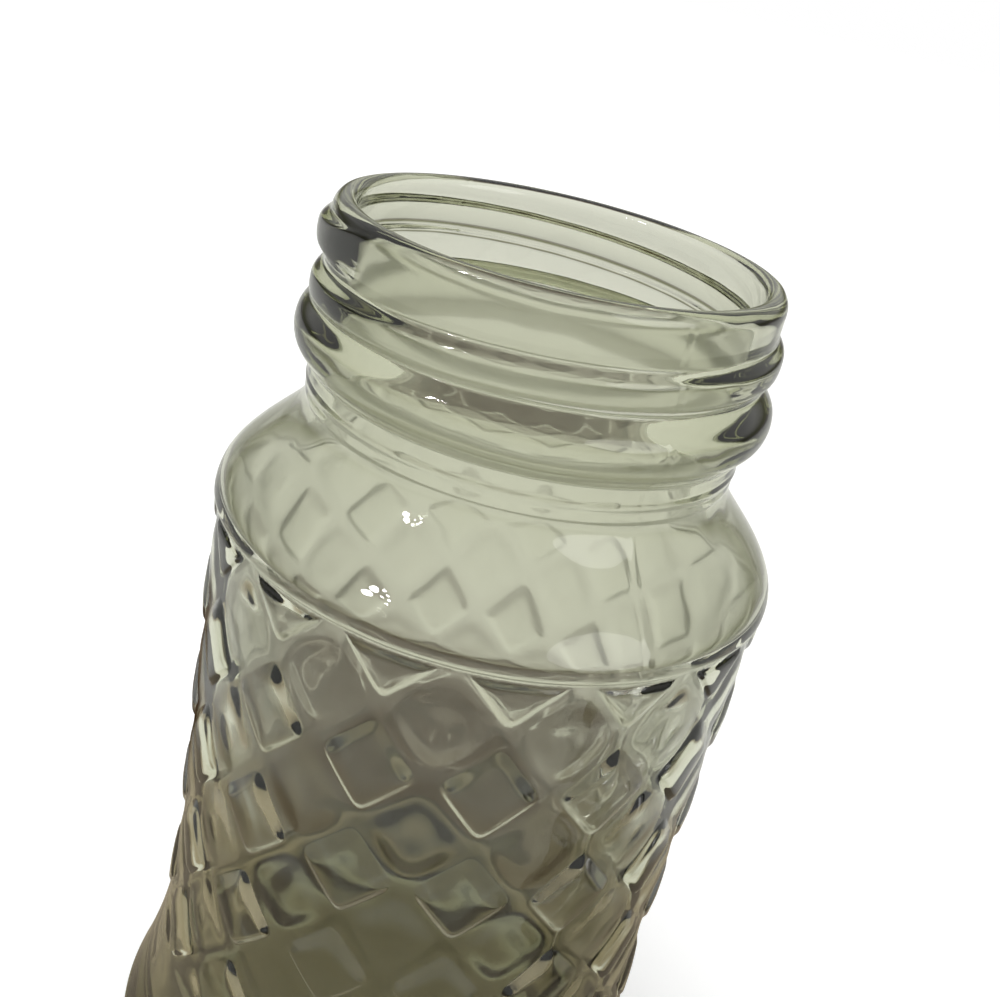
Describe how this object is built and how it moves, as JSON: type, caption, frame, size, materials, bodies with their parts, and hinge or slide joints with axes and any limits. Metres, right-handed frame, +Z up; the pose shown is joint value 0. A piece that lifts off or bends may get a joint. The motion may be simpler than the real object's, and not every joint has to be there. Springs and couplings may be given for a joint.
{
  "type": "syrup dispenser",
  "caption": "Open pressed-glass syrup jar with a diamond pad pattern and a threaded neck, its screw-on pouring top with a sprung hinged lid and a riveted handle lying beside it.",
  "frame": {"origin": "centre of the jar's foot, on the surface it stands on", "axes": "+Z up along the jar's axis; +X towards the pouring top that lies beside the jar; the top's own axis lies along +Y, lid end towards +Y"},
  "size_m": [0.2224, 0.1835, 0.15],
  "materials": {
    "glass": "clear pressed glass with a faint green-grey tint",
    "chrome": "polished plate",
    "steel": "drawn and tumbled steel",
    "seal": "soft translucent silicone, matt",
    "grip": "moulded black plastic, satin"
  },
  "bodies": {
    "jar": {"jar": "glass"},
    "top": {"collar": "chrome", "collar_gasket": "seal", "cover": "chrome", "spout": "chrome", "hinge_bracket": "chrome", "bracket_rivet_left": "steel", "bracket_rivet_right": "steel", "hinge_pin": "steel", "lid_spring": "steel", "handle_saddle": "chrome", "handle_tang": "steel", "grip_scale_left": "grip", "grip_scale_right": "grip", "grip_rivet_upper": "steel", "grip_rivet_lower": "steel"},
    "lid": {"lid": "chrome", "lid_seal": "seal", "thumb_lever": "chrome", "thumb_pad": "grip", "lever_rivet_left": "steel", "lever_rivet_right": "steel"}
  },
  "joints": [
    {"name": "cap_lift", "type": "slide", "parent": "jar", "child": "top", "axis": [0, 0, 1], "range_m": [0, 0.17]},
    {"name": "lid_hinge", "type": "hinge", "parent": "top", "child": "lid", "pos_m": [0.11659, -0.02704, 0.02763], "axis": [-0.3284, 0, -0.9445], "range_deg": [0, 60], "stiffness_Nm_per_rad": 0.01, "springref_deg": -34.38}
  ]
}
